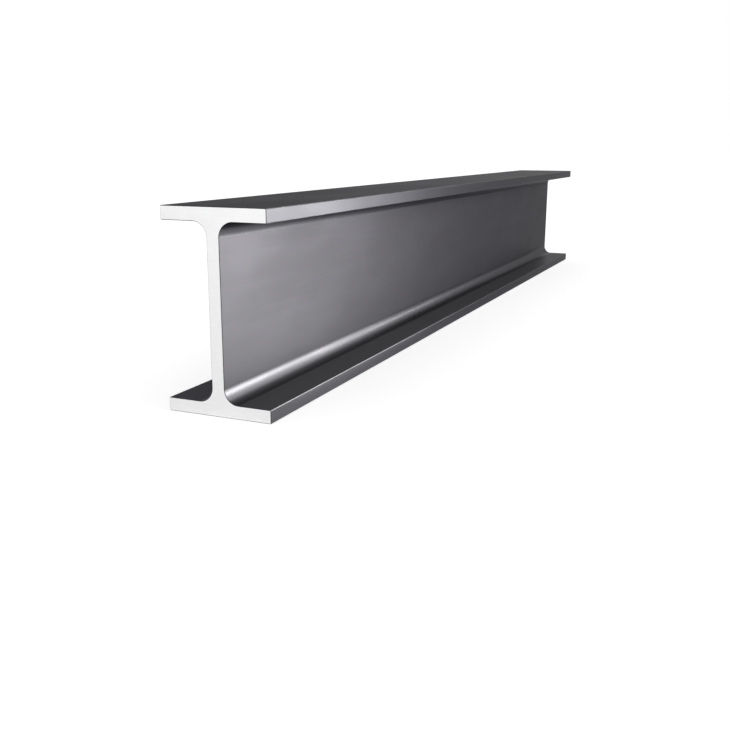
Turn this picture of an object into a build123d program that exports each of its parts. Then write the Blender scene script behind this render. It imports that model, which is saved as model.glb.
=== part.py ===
"""Hot-rolled steel H-beam: one straight length, sawn square at both ends.

Millimetres. X runs along the beam, Y across its flanges and Z up. The beam lies
on its lower flange, and the origin is on the underside of that flange, below the
middle of the beam.
"""

import os

from build123d import *

# Section, as a rolling table gives it
section_height = 175
flange_width = 100
flange_thickness = 12
web_thickness = 12
root_radius = 13

# Rounding that the edging rolls leave on the corners of the flange toes
toe_radius = 1

# Cut length, and the burr dressed off round the outline of each sawn end
beam_length = 1200
dressed_edge = 0.5

# Heights that follow from the section
section_middle = section_height / 2
lower_flange_middle = flange_thickness / 2
upper_flange_middle = section_height - flange_thickness / 2

os.makedirs("parts", exist_ok=True)

with BuildPart() as h_beam:
    # The section stands on the plane of mid-length: its x is Y and its y is Z
    with BuildSketch(Plane.YZ) as section:
        with Locations((0, section_middle)):
            Rectangle(web_thickness, section_height)
        with Locations((0, lower_flange_middle), (0, upper_flange_middle)):
            Rectangle(flange_width, flange_thickness)

        # Corners in four upright rows: toes outermost, then the roots at the web
        corner_rows = section.vertices().group_by(Axis.X)
        fillet(corner_rows[1] + corner_rows[-2], root_radius)
        corner_rows = section.vertices().group_by(Axis.X)
        fillet(corner_rows[0] + corner_rows[-1], toe_radius)
    extrude(amount=beam_length / 2, both=True)

    sawn_ends = h_beam.faces().filter_by(Axis.X)
    chamfer(sawn_ends.edges(), dressed_edge)

h_beam.part.label = "h_beam"
export_step(h_beam.part, "parts/h_beam.step")
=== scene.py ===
"""Looks of the rolled steel H-beam: its fine mesh, its steel finishes, the studio and the camera.

Metres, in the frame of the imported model. X runs along the beam, Y across its flanges and Z up.
The camera looks from beside the near end, which faces -X, along the front of the web, which faces -Y.
"""

import logging
import math
from collections.abc import Callable
from dataclasses import dataclass
from enum import Enum

import bmesh
import bpy
from mathutils import Matrix, Vector


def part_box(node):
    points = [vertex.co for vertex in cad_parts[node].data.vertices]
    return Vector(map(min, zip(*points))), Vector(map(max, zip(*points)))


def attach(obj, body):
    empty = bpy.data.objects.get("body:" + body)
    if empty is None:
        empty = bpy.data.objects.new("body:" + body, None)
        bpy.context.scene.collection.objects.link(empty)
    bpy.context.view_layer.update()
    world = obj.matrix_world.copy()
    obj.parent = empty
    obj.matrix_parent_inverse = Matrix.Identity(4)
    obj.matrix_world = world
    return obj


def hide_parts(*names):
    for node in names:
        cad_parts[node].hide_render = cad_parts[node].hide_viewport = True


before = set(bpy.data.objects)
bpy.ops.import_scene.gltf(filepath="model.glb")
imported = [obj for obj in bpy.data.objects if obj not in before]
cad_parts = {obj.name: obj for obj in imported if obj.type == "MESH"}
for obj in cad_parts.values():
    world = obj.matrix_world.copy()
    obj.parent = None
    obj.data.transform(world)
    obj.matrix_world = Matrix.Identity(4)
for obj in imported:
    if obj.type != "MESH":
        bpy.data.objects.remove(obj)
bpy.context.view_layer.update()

GRAIN_MAP = "grain"
MILLIMETRE = 0.001

log = logging.getLogger("h_beam")

Place = tuple[float, float, float]
Colour = tuple[float, float, float]
Socket = bpy.types.NodeSocket
Amount = Socket | float
Span = tuple[Amount, Amount]

# Places nearer to each other than this are one place
CLOSE = 0.01 * MILLIMETRE
# How much of a normal, or of an edge, lies along an axis: all of it, most of it, or a little
SQUARE = 0.9999
MOSTLY = 0.9
LEANING = 0.00001
# Faces that turn by less than the first are one flat, and by less than the second shade as one curve
ONE_FLAT = math.radians(1)
ONE_CURVE = math.radians(25)
# A bevel's profile for an arc, and the most that a large face can pull the shading its way
ARC = 0.5
FULL_PULL = 100

# The middle of a noise, which a finish spreads over its range: the narrower, the crisper its patches
CRISP = (0.40, 0.60)
MEDIUM = (0.38, 0.62)
SOFT = (0.35, 0.65)
WHOLE = (0.0, 1.0)

# A quarter turn, since drawn steel spreads a highlight across the lines that the rolls drew
ACROSS_GRAIN = 0.25
# A Mix node's sockets for colours, which share their names with those for numbers
MIX_FIRST, MIX_SECOND, MIX_RESULT = 6, 7, 2
# Watts to the square metre at which a lamp looks as bright as the white surroundings
WATTS_AT_WHITE = 4.0
WHITE = (1.0, 1.0, 1.0)


class Side(Enum):
    """The side of the web that a stretch of flange grows from."""

    FRONT = -1
    BACK = 1


class Surface(Enum):
    """The surfaces of the beam, numbered as its material slots."""

    LOWER_ROOTS = 0
    UPPER_ROOTS = 1
    TOES = 2
    WEB = 3
    INNER = 4
    OUTER = 5
    DRESSED = 6
    SAWN = 7


@dataclass(frozen=True)
class Pattern:
    """A cloudy noise in the steel: its stretch, its grains to the metre and its finer layers.

    A small factor for an axis draws the noise out along that axis.
    """

    stretch: Place
    per_metre: float
    layers: float
    roughness: float


class NodeGraph:
    """A node tree, with one short method for each kind of node that a finish uses."""

    def __init__(self, owner: bpy.types.Material | bpy.types.World) -> None:
        """Starts an empty tree.

        Args:
            owner: The material or the world that the tree is for.
        """
        owner.use_nodes = True
        self.owner = owner
        self.tree = owner.node_tree
        self.tree.nodes.clear()

    def node(self, kind: str, **settings: object) -> bpy.types.Node:
        """Adds a node.

        Args:
            kind: The node's type name.
            settings: Properties to set on it.

        Returns:
            The new node.
        """
        made = self.tree.nodes.new(kind)
        for name, value in settings.items():
            setattr(made, name, value)
        return made

    def feed(self, target: Socket, value: object) -> None:
        """Links a socket to an input, or writes a plain value on it.

        Args:
            target: The input.
            value: A socket to link, a number or colour to write, or None to leave the input as it is.
        """
        if isinstance(value, Socket):
            self.tree.links.new(value, target)
        elif value is not None:
            target.default_value = value

    def place(self) -> Socket:
        """Gives the place on the beam, in metres from its origin."""
        return self.node("ShaderNodeTexCoord").outputs["Object"]

    def along_grain(self) -> Socket:
        """Gives the direction in which the rolls drew the surface, which the U of its map follows."""
        return self.node("ShaderNodeTangent", direction_type="UV_MAP", uv_map=GRAIN_MAP).outputs["Tangent"]

    def noise(self, place: Socket, pattern: Pattern) -> Socket:
        """Adds cloudy noise.

        Args:
            place: The place to read it at.
            pattern: Its stretch, scale and layers.

        Returns:
            Its value, mostly from 0.3 to 0.7.
        """
        stretched = self.node("ShaderNodeMapping")
        self.feed(stretched.inputs["Vector"], place)
        self.feed(stretched.inputs["Scale"], pattern.stretch)
        made = self.node("ShaderNodeTexNoise")
        self.feed(made.inputs["Vector"], stretched.outputs["Vector"])
        self.feed(made.inputs["Scale"], pattern.per_metre)
        self.feed(made.inputs["Detail"], pattern.layers)
        self.feed(made.inputs["Roughness"], pattern.roughness)
        return made.outputs["Fac"]

    def maths(self, operation: str, first: Amount, second: Amount | None = None) -> Socket:
        """Does one sum.

        Args:
            operation: The Math node's operation.
            first: Its first number or socket.
            second: Its second number or socket, where it takes one.

        Returns:
            The result.
        """
        made = self.node("ShaderNodeMath", operation=operation)
        for target, value in zip(made.inputs, (first, second)):
            self.feed(target, value)
        return made.outputs["Value"]

    def weigh(self, first: Socket, second: Socket, share: float) -> Socket:
        """Adds two values, the second by its share and the first by the rest."""
        rest = self.maths("MULTIPLY", first, 1.0 - share)
        return self.maths("ADD", rest, self.maths("MULTIPLY", second, share))

    def spread(self, value: Socket, span: Span, result: Span = WHOLE) -> Socket:
        """Turns one range of a value into another, with soft ends.

        Args:
            value: The value.
            span: The two ends of its range.
            result: What it becomes at each end and past it.

        Returns:
            The new value.
        """
        made = self.node("ShaderNodeMapRange", interpolation_type="SMOOTHSTEP")
        names = ("Value", "From Min", "From Max", "To Min", "To Max")
        for name, part in zip(names, (value, *span, *result)):
            self.feed(made.inputs[name], part)
        return made.outputs["Result"]

    def blend(self, share: Socket, first: Socket | Colour, second: Socket | Colour) -> Socket:
        """Mixes two colours.

        Args:
            share: How much of the second shows, from 0 to 1.
            first: The first colour or socket.
            second: The second colour or socket.

        Returns:
            The mixed colour.
        """
        made = self.node("ShaderNodeMix", data_type="RGBA")
        self.feed(made.inputs["Factor"], share)
        for index, colour in ((MIX_FIRST, first), (MIX_SECOND, second)):
            self.feed(made.inputs[index], (*colour, 1.0) if isinstance(colour, tuple) else colour)
        return made.outputs[MIX_RESULT]

    def bump(self, height: Socket, distance: float, under: Socket | None = None) -> Socket:
        """Raises fine relief.

        Args:
            height: The relief, from 0 to 1.
            distance: How far 1 stands above 0, in metres.
            under: The normal of a coarser relief below it.

        Returns:
            The bumped normal.
        """
        made = self.node("ShaderNodeBump")
        self.feed(made.inputs["Height"], height)
        self.feed(made.inputs["Distance"], distance)
        self.feed(made.inputs["Normal"], under)
        return made.outputs["Normal"]

    def metal(self, inputs: dict[str, object]) -> bpy.types.Material:
        """Ends the tree with bare metal.

        Args:
            inputs: What the shader's inputs get, by their names.

        Returns:
            The finished material.
        """
        shader = self.node("ShaderNodeBsdfPrincipled")
        for name, value in {"Metallic": 1.0, **inputs}.items():
            self.feed(shader.inputs[name], value)
        return self.output(shader.outputs["BSDF"])

    def output(self, shader: Socket) -> bpy.types.Material | bpy.types.World:
        """Ends the tree.

        Args:
            shader: The shader that the surface or the surroundings get.

        Returns:
            The finished material or world.
        """
        is_world = isinstance(self.owner, bpy.types.World)
        end = self.node("ShaderNodeOutputWorld" if is_world else "ShaderNodeOutputMaterial")
        self.feed(end.inputs["Surface"], shader)
        return self.owner


@dataclass(frozen=True)
class RolledFinish:
    """Graphite mill scale as the rolls leave it: satin, faintly clouded, and drawn out along the beam.

    The corner lines of the flange toes, where stock rubs on stock, are worn brighter.
    """

    name: str
    depth: float
    width: float
    flange_thickness: float
    satin: float
    unevenness: float = 0.04
    edge_tint: float = 0.32
    drawn: float = 0.75
    graphite: Colour = (0.122, 0.120, 0.132)
    clouded: Colour = (0.112, 0.110, 0.121)
    worn: Colour = (0.18, 0.18, 0.19)
    worn_from: float = 0.5 * MILLIMETRE
    worn_to: float = 1.3 * MILLIMETRE
    clouds: Pattern = Pattern(stretch=(0.35, 1.0, 1.0), per_metre=22.0, layers=3.0, roughness=0.55)
    streaks: Pattern = Pattern(stretch=(0.02, 1.0, 1.0), per_metre=420.0, layers=2.0, roughness=0.6)
    grain: Pattern = Pattern(stretch=(1.0, 1.0, 1.0), per_metre=900.0, layers=3.0, roughness=0.6)
    patches: Pattern = Pattern(stretch=(0.25, 1.0, 1.0), per_metre=160.0, layers=3.0, roughness=0.65)
    streaks_in_colour: float = 0.3
    grain_in_gloss: float = 0.4
    streak_height: float = 0.003 * MILLIMETRE
    grain_height: float = 0.004 * MILLIMETRE

    def material(self) -> bpy.types.Material:
        """Makes the rolled surface's material.

        Returns:
            The material.
        """
        graph = NodeGraph(bpy.data.materials.new(self.name))
        place = graph.place()
        clouds = graph.noise(place, self.clouds)
        streaks = graph.noise(place, self.streaks)
        grain = graph.noise(place, self.grain)

        clouding = graph.spread(graph.weigh(clouds, streaks, self.streaks_in_colour), CRISP)
        mill_scale = graph.blend(clouding, self.graphite, self.clouded)
        gloss = graph.weigh(clouds, grain, self.grain_in_gloss)
        return graph.metal({
            "Base Color": graph.blend(self._wear(graph, place), mill_scale, self.worn),
            "Roughness": graph.spread(gloss, MEDIUM, (self.satin, self.satin + self.unevenness)),
            "Specular Tint": (self.edge_tint, self.edge_tint, self.edge_tint, 1.0),
            "Anisotropic": self.drawn,
            "Anisotropic Rotation": ACROSS_GRAIN,
            "Tangent": graph.along_grain(),
            "Normal": graph.bump(grain, self.grain_height, graph.bump(streaks, self.streak_height)),
        })

    def _wear(self, graph: NodeGraph, place: Socket) -> Socket:
        """Finds how worn a place is, from how near it lies to a corner line of a flange toe.

        Args:
            graph: The tree to add to.
            place: The place on the beam.

        Returns:
            The wear, from 0 to 1.
        """
        parts = graph.node("ShaderNodeSeparateXYZ")
        graph.feed(parts.inputs["Vector"], place)
        across, height = parts.outputs["Y"], parts.outputs["Z"]
        half = self.flange_thickness / 2
        from_outside = graph.maths("MINIMUM", height, graph.maths("SUBTRACT", self.depth, height))
        from_flange_middle = graph.maths("ABSOLUTE", graph.maths("SUBTRACT", from_outside, half))
        from_face = graph.maths("SUBTRACT", half, from_flange_middle)
        from_toe = graph.maths("SUBTRACT", self.width / 2, graph.maths("ABSOLUTE", across))
        squares = [graph.maths("POWER", distance, 2.0) for distance in (from_toe, from_face)]
        from_corner_line = graph.maths("SQRT", graph.maths("ADD", *squares))
        patches = graph.noise(place, self.patches)
        reach = graph.spread(patches, SOFT, (self.worn_from, self.worn_to))
        return graph.spread(from_corner_line, (reach, self.worn_from))


@dataclass(frozen=True)
class SawnFinish:
    """Bright steel as the saw leaves it, with fine marks across the cut."""

    name: str = "saw_cut"
    bright: Colour = (0.77, 0.77, 0.775)
    shadowed: Colour = (0.735, 0.735, 0.745)
    satin: float = 0.32
    dull: float = 0.40
    marks: Pattern = Pattern(stretch=(1.0, 0.03, 1.0), per_metre=1300.0, layers=2.0, roughness=0.7)
    clouds: Pattern = Pattern(stretch=(1.0, 1.0, 1.0), per_metre=45.0, layers=3.0, roughness=0.55)
    clouds_in_colour: float = 0.4
    mark_height: float = 0.004 * MILLIMETRE

    def material(self) -> bpy.types.Material:
        """Makes the sawn surface's material.

        Returns:
            The material.
        """
        graph = NodeGraph(bpy.data.materials.new(self.name))
        place = graph.place()
        marks = graph.noise(place, self.marks)
        clouds = graph.noise(place, self.clouds)
        shade = graph.spread(graph.weigh(marks, clouds, self.clouds_in_colour), MEDIUM)
        return graph.metal({
            "Base Color": graph.blend(shade, self.bright, self.shadowed),
            "Roughness": graph.spread(clouds, SOFT, (self.satin, self.dull)),
            "Normal": graph.bump(marks, self.mark_height),
        })


@dataclass
class HBeam:
    """The rolled length: the sizes of its section, in metres, its mesh and its finishes."""

    length: float
    depth: float
    width: float
    flange_thickness: float = 12 * MILLIMETRE
    web_thickness: float = 12 * MILLIMETRE
    root_radius: float = 13 * MILLIMETRE
    toe_radius: float = 1 * MILLIMETRE
    dressed_edge: float = 0.5 * MILLIMETRE
    root_segments: int = 24
    toe_segments: int = 6

    def build(self) -> bpy.types.Object:
        """Models the beam and dresses it.

        Returns:
            The finished piece, at the origin, with its place in its mesh.
        """
        piece = self._plate()
        bpy.ops.object.mode_set(mode="EDIT")
        self._mark_flanges()
        for side in Side:
            self._draw_out_flanges(piece, side)
        self._merge_flats()
        self._round_roots(piece)
        self._round_toes(piece)
        self._dress_ends(piece)
        self._map_grain(piece)
        bpy.ops.object.mode_set(mode="OBJECT")
        self._dress(piece)
        self._smooth(piece)
        return piece

    def _plate(self) -> bpy.types.Object:
        """Makes the plate that the section grows from, as thick as the web and as deep as the beam.

        Returns:
            The plate, shorter than the beam by the dressed edge of each end.
        """
        bpy.ops.object.select_all(action="DESELECT")
        cut_length = self.length - 2 * self.dressed_edge
        bpy.ops.mesh.primitive_cube_add(
            size=1.0,
            location=(0.0, 0.0, self.depth / 2),
            scale=(cut_length, self.web_thickness, self.depth),
        )
        bpy.ops.object.transform_apply(location=True, rotation=True, scale=True)
        piece = bpy.context.active_object
        piece.name = piece.data.name = "rolled_h_beam"
        return piece

    def _mark_flanges(self) -> None:
        """Cuts a line round the plate where each flange meets the web."""
        for height in (self.flange_thickness, self.depth - self.flange_thickness):
            bpy.ops.mesh.select_all(action="SELECT")
            bpy.ops.mesh.bisect(plane_co=(0.0, 0.0, height), plane_no=(0.0, 0.0, 1.0))

    def _draw_out_flanges(self, piece: bpy.types.Object, side: Side) -> None:
        """Extrudes both flanges from one side of the plate.

        Args:
            piece: The beam, in edit mode.
            side: The side of the web to extrude.
        """
        select_faces(piece, lambda face: self._is_flange(face, side))
        reach = (self.width - self.web_thickness) / 2
        bpy.ops.mesh.extrude_region_move(TRANSFORM_OT_translate={"value": (0.0, side.value * reach, 0.0)})

    def _is_flange(self, face: bmesh.types.BMFace, side: Side) -> bool:
        """Tells whether a face is on one side of the plate, level with a flange."""
        level = self._from_outside(face.calc_center_median().z) < self.flange_thickness
        return face.normal.y * side.value > MOSTLY and level

    def _merge_flats(self) -> None:
        """Makes one face of each flat side, so that each sawn end is whole."""
        bpy.ops.mesh.select_all(action="SELECT")
        bpy.ops.mesh.dissolve_limited(angle_limit=ONE_FLAT)

    def _round_roots(self, piece: bpy.types.Object) -> None:
        """Rounds the four inner corners between web and flanges."""
        select_edges(piece, self._is_root)
        self._bevel(self.root_radius, self.root_segments)

    def _is_root(self, edge: bmesh.types.BMEdge) -> bool:
        """Tells whether an edge is an inner corner between web and flange.

        Args:
            edge: An edge along the beam.

        Returns:
            Whether it is such a corner.
        """
        middle = middle_of(edge)
        at_web = abs(abs(middle.y) - self.web_thickness / 2) < CLOSE
        return at_web and abs(self._from_outside(middle.z) - self.flange_thickness) < CLOSE

    def _round_toes(self, piece: bpy.types.Object) -> None:
        """Rounds the eight outer corners of the flange toes."""
        select_edges(piece, self._is_toe_corner)
        self._bevel(self.toe_radius, self.toe_segments)

    def _is_toe_corner(self, edge: bmesh.types.BMEdge) -> bool:
        """Tells whether an edge is an outer corner of a flange toe.

        Args:
            edge: An edge along the beam.

        Returns:
            Whether it is such a corner.
        """
        middle = middle_of(edge)
        outside = self._from_outside(middle.z)
        at_face = min(outside, abs(outside - self.flange_thickness)) < CLOSE
        return abs(abs(middle.y) - self.width / 2) < CLOSE and at_face

    def _dress_ends(self, piece: bpy.types.Object) -> None:
        """Raises each sawn end from the plate's end, so that a small chamfer runs round its outline."""
        select_faces(piece, lambda face: abs(face.normal.x) > MOSTLY)
        bpy.ops.mesh.inset(thickness=self.dressed_edge, depth=self.dressed_edge, use_even_offset=True)

    def _map_grain(self, piece: bpy.types.Object) -> None:
        """Maps the surface so that U runs along the beam on its sides, and across it on its sawn ends.

        Args:
            piece: The beam, in edit mode.
        """
        bpy.ops.mesh.select_all(action="SELECT")
        bpy.ops.uv.cube_project(cube_size=1.0, correct_aspect=False, scale_to_bounds=False)
        piece.data.uv_layers.active.name = GRAIN_MAP

    def _dress(self, piece: bpy.types.Object) -> None:
        """Gives each surface of the beam its finish.

        Args:
            piece: The beam.
        """
        finishes = self._finishes()
        for surface in Surface:
            piece.data.materials.append(finishes[surface].material())
        for face in piece.data.polygons:
            face.material_index = self._surface(face).value

    def _finishes(self) -> dict[Surface, RolledFinish | SawnFinish]:
        """Lists the finishes: lit and shaded copies of one mill scale, with a painted highlight on the lower
        roots and painted shade elsewhere, darkest outside the flanges; glossier in the roots and on the toes.

        Returns:
            The finish of each surface.
        """
        section = (self.depth, self.width, self.flange_thickness)
        return {
            # Lower roots: a lighter copy of the mill scale, a painted highlight that brightens the band of
            # light along them.
            Surface.LOWER_ROOTS: RolledFinish(
                "scale_with_painted_highlight_on_lower_roots", *section, satin=0.27,
                graphite=(0.145, 0.143, 0.156), clouded=(0.134, 0.132, 0.144)),
            # Upper roots: a darker copy of the mill scale, painted shade for the dark strip under the upper
            # flange.
            Surface.UPPER_ROOTS: RolledFinish(
                "scale_with_painted_shade_on_upper_roots", *section, satin=0.27,
                graphite=(0.083, 0.082, 0.089), clouded=(0.076, 0.075, 0.082)),
            Surface.TOES: RolledFinish("scale_on_toes", *section, satin=0.29),
            # Web: a little darker than the toes, slight painted shade fitted to how light falls on it.
            Surface.WEB: RolledFinish(
                "scale_on_web", *section, satin=0.40,
                graphite=(0.106, 0.104, 0.115), clouded=(0.097, 0.095, 0.105)),
            # Inside the flanges: also a little darker than the toes, slight painted shade.
            Surface.INNER: RolledFinish(
                "scale_inside_flanges", *section, satin=0.44,
                graphite=(0.108, 0.106, 0.117), clouded=(0.099, 0.097, 0.107)),
            # Outside the flanges: the darkest copy of the mill scale, painted shade that keeps the outer
            # faces of the flanges dark.
            Surface.OUTER: RolledFinish(
                "scale_with_painted_shade_outside_flanges", *section, satin=0.50,
                graphite=(0.067, 0.067, 0.073), clouded=(0.062, 0.062, 0.068)),
            # Dressed edges: near-black, a painted dark outline of shade round each sawn end.
            Surface.DRESSED: RolledFinish(
                "painted_shade_on_dressed_edges", *section, satin=0.50, drawn=0.0,
                graphite=(0.030, 0.030, 0.033), clouded=(0.024, 0.024, 0.027),
                worn=(0.040, 0.040, 0.043)),
            Surface.SAWN: SawnFinish(),
        }

    def _surface(self, face: bpy.types.MeshPolygon) -> Surface:
        """Tells which surface a face belongs to.

        Args:
            face: A face of the finished mesh.

        Returns:
            Its surface.
        """
        if abs(face.normal.x) > SQUARE:
            return Surface.SAWN
        if abs(face.normal.x) > LEANING:
            return Surface.DRESSED
        if abs(face.normal.z) > SQUARE:
            outermost = self._from_outside(face.center.z) < CLOSE
            return Surface.OUTER if outermost else Surface.INNER
        if abs(face.center.y) > self.web_thickness / 2 + self.root_radius:
            return Surface.TOES
        if abs(face.normal.y) > SQUARE:
            return Surface.WEB
        return Surface.LOWER_ROOTS if face.center.z < self.depth / 2 else Surface.UPPER_ROOTS

    def _smooth(self, piece: bpy.types.Object) -> None:
        """Shades the rounded stretches smoothly and keeps the flat faces flat.

        Args:
            piece: The beam.
        """
        bpy.ops.object.shade_smooth_by_angle(angle=ONE_CURVE)
        modifier = piece.modifiers.new("flat_faces", "WEIGHTED_NORMAL")
        modifier.keep_sharp = True
        modifier.weight = FULL_PULL
        bpy.ops.object.modifier_apply(modifier=modifier.name)

    def _from_outside(self, height: float) -> float:
        """Gives the distance from a height to the nearer outer face of the flanges."""
        return min(height, self.depth - height)

    @staticmethod
    def _bevel(radius: float, segments: int) -> None:
        """Rounds the selected edges.

        Args:
            radius: The radius of the arc.
            segments: How many flats make the arc.
        """
        bpy.ops.mesh.bevel(
            offset_type="OFFSET",
            offset=radius,
            segments=segments,
            profile=ARC,
            affect="EDGES",
            clamp_overlap=False,
        )


def middle_of(edge: bmesh.types.BMEdge) -> Vector:
    """Gives the middle of an edge."""
    return (edge.verts[0].co + edge.verts[1].co) / 2


def select_faces(piece: bpy.types.Object, wanted: Callable[[bmesh.types.BMFace], bool]) -> None:
    """Selects just the wanted faces of a piece in edit mode.

    Args:
        piece: The piece.
        wanted: Says whether a face is wanted.
    """
    bpy.ops.mesh.select_mode(type="FACE")
    bpy.ops.mesh.select_all(action="DESELECT")
    mesh = bmesh.from_edit_mesh(piece.data)
    mesh.normal_update()
    for face in mesh.faces:
        face.select_set(wanted(face))
    mesh.select_flush_mode()
    bmesh.update_edit_mesh(piece.data)


def select_edges(piece: bpy.types.Object, wanted: Callable[[bmesh.types.BMEdge], bool]) -> None:
    """Selects just the wanted edges along a piece in edit mode.

    Args:
        piece: The piece.
        wanted: Says whether an edge along X is wanted.
    """
    bpy.ops.mesh.select_mode(type="EDGE")
    bpy.ops.mesh.select_all(action="DESELECT")
    mesh = bmesh.from_edit_mesh(piece.data)
    for edge in mesh.edges:
        run = edge.verts[1].co - edge.verts[0].co
        edge.select_set(abs(run.x) > MOSTLY * run.length and wanted(edge))
    mesh.select_flush_mode()
    bmesh.update_edit_mesh(piece.data)


@dataclass(frozen=True)
class SoftBox:
    """A soft lamp: a glowing rectangle that the steel reflects."""

    name: str
    place: Place
    aim: Place
    width: float
    height: float
    glow: float
    warmth: Colour = (1.0, 1.0, 0.955)

    def build(self, lit: bpy.types.Collection) -> bpy.types.Object:
        """Hangs the lamp.

        Args:
            lit: What the lamp lights. The floor isn't among it, so that no lamp leaves a pool of light there.

        Returns:
            The lamp.
        """
        lamp = bpy.data.lights.new(self.name, "AREA")
        lamp.shape = "RECTANGLE"
        lamp.size = self.width
        lamp.size_y = self.height
        lamp.energy = self.glow * WATTS_AT_WHITE * self.width * self.height
        lamp.color = self.warmth
        made = bpy.data.objects.new(self.name, lamp)
        bpy.context.scene.collection.objects.link(made)
        made.location = self.place
        made.rotation_euler = (Vector(self.aim) - Vector(self.place)).to_track_quat("-Z", "Y").to_euler()
        made.visible_camera = False
        made.light_linking.receiver_collection = lit
        return made


LAMPS = (
    SoftBox("key", place=(0.5, -0.628, 0.125), aim=(0.73, 0.345, 0.125), width=1.3, height=0.25, glow=6.3),
    SoftBox("long", place=(2.11, -1.01, 0.55), aim=(2.341, -0.037, 0.55), width=1.82, height=0.4, glow=7.0),
    SoftBox("close", place=(-0.003, -0.267, 0.1), aim=(0.052, 0.732, 0.1), width=0.6, height=0.2, glow=1.8),
    SoftBox("upper", place=(0.195, -0.278, 0.4), aim=(0.25, 0.721, 0.4), width=0.81, height=0.2, glow=1.6),
    SoftBox("near", place=(-0.6, -0.37, 0.13), aim=(-0.45, 0.0, 0.05), width=0.5, height=0.24, glow=7.5),
    SoftBox("low", place=(-0.37, -0.11, 0.005), aim=(-0.37, -0.11, 1.0), width=0.32, height=0.1, glow=1.2),
    SoftBox("end", place=(-2.2, 0.6, 0.5), aim=(-0.6, 0.0, 0.1), width=1.0, height=0.9, glow=0.5),
)


@dataclass(frozen=True)
class Studio:
    """The pale floor, the white surroundings and the soft lamps."""

    floor_size: float = 60.0
    floor_drop: float = 0.1 * MILLIMETRE
    floor_colour: Colour = (0.8, 0.8, 0.8)
    floor_shine: float = 0.58
    ambient: float = 0.65
    lamps: tuple[SoftBox, ...] = LAMPS

    def build(self, piece: bpy.types.Object) -> None:
        """Lays the floor, lights the surroundings and hangs the lamps.

        Args:
            piece: The beam, which the lamps light.
        """
        self._lay_floor()
        self._light_surroundings()
        lit = bpy.data.collections.new("lit_by_lamps")
        lit.objects.link(piece)
        for lamp in self.lamps:
            lamp.build(lit)

    def _lay_floor(self) -> None:
        """Lays a plain pale floor just under the beam."""
        bpy.ops.object.select_all(action="DESELECT")
        bpy.ops.mesh.primitive_plane_add(size=self.floor_size, location=(0.0, 0.0, -self.floor_drop))
        bpy.ops.object.transform_apply(location=True, rotation=True, scale=True)
        floor = bpy.context.active_object
        floor.name = "studio_floor"
        floor.data.materials.append(self._floor_material())

    def _floor_material(self) -> bpy.types.Material:
        """Makes the floor's material: pale and matt, and lifted to white where it is seen or reflected.

        Returns:
            The material.
        """
        graph = NodeGraph(bpy.data.materials.new("studio_floor"))
        matt = graph.node("ShaderNodeBsdfDiffuse")
        graph.feed(matt.inputs["Color"], (*self.floor_colour, 1.0))
        shine = graph.node("ShaderNodeEmission")
        strength = graph.maths("MULTIPLY", seen_or_reflected(graph), self.floor_shine)
        graph.feed(shine.inputs["Strength"], strength)
        both = graph.node("ShaderNodeAddShader")
        for target, shader in zip(both.inputs, (matt.outputs["BSDF"], shine.outputs["Emission"])):
            graph.feed(target, shader)
        return graph.output(both.outputs["Shader"])

    def _light_surroundings(self) -> None:
        """Makes the surroundings white where they are seen or reflected, and softly lit otherwise."""
        graph = NodeGraph(bpy.data.worlds.new("studio"))
        background = graph.node("ShaderNodeBackground")
        strength = graph.spread(seen_or_reflected(graph), WHOLE, (self.ambient, 1.0))
        graph.feed(background.inputs["Color"], (*WHITE, 1.0))
        graph.feed(background.inputs["Strength"], strength)
        bpy.context.scene.world = graph.output(background.outputs["Background"])


def seen_or_reflected(graph: NodeGraph) -> Socket:
    """Says whether a ray comes from the camera, straight or by way of metal or glass.

    Args:
        graph: The tree to add to.

    Returns:
        1 for such a ray, otherwise 0.
    """
    path = graph.node("ShaderNodeLightPath")
    seen = graph.maths("MAXIMUM", path.outputs["Is Camera Ray"], path.outputs["Is Glossy Ray"])
    return graph.maths("MAXIMUM", seen, path.outputs["Is Transmission Ray"])


@dataclass(frozen=True)
class StudioCamera:
    """The camera, where the picture of the beam was taken from."""

    place: Place = (-1.2055, -0.3997, 0.2224)
    heading: float = math.radians(23.70)
    tilt: float = math.radians(-13.89)
    roll: float = math.radians(0.14)
    lens: float = 43.76
    sensor: float = 36.0

    def build(self) -> bpy.types.Object:
        """Sets the camera up.

        Returns:
            The camera.
        """
        data = bpy.data.cameras.new("studio_camera")
        data.lens = self.lens
        data.sensor_width = self.sensor
        camera = bpy.data.objects.new("studio_camera", data)
        bpy.context.scene.collection.objects.link(camera)
        turn = Matrix.Rotation(self.heading - math.pi / 2, 4, "Z")
        nod = Matrix.Rotation(math.pi / 2 + self.tilt, 4, "X")
        lean = Matrix.Rotation(self.roll, 4, "Z")
        camera.matrix_world = Matrix.Translation(self.place) @ turn @ nod @ lean
        bpy.context.scene.camera = camera
        return camera


def main() -> None:
    """Builds the beam to the sizes of the imported part, then the studio and the camera, and logs the beam's
    face count.
    """
    logging.basicConfig(level=logging.INFO, format="%(message)s")
    bpy.context.scene.view_settings.view_transform = "Standard"

    low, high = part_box("h_beam")
    size = high - low
    beam = HBeam(length=size.x, depth=size.z, width=size.y).build()
    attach(beam, "root")
    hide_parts("h_beam")
    log.info("%s: %d faces", beam.name, len(beam.data.polygons))

    Studio().build(beam)
    log.info("studio: floor, surroundings and lamps")
    StudioCamera().build()
    log.info("camera: in place")


if __name__ == "__main__":
    main()
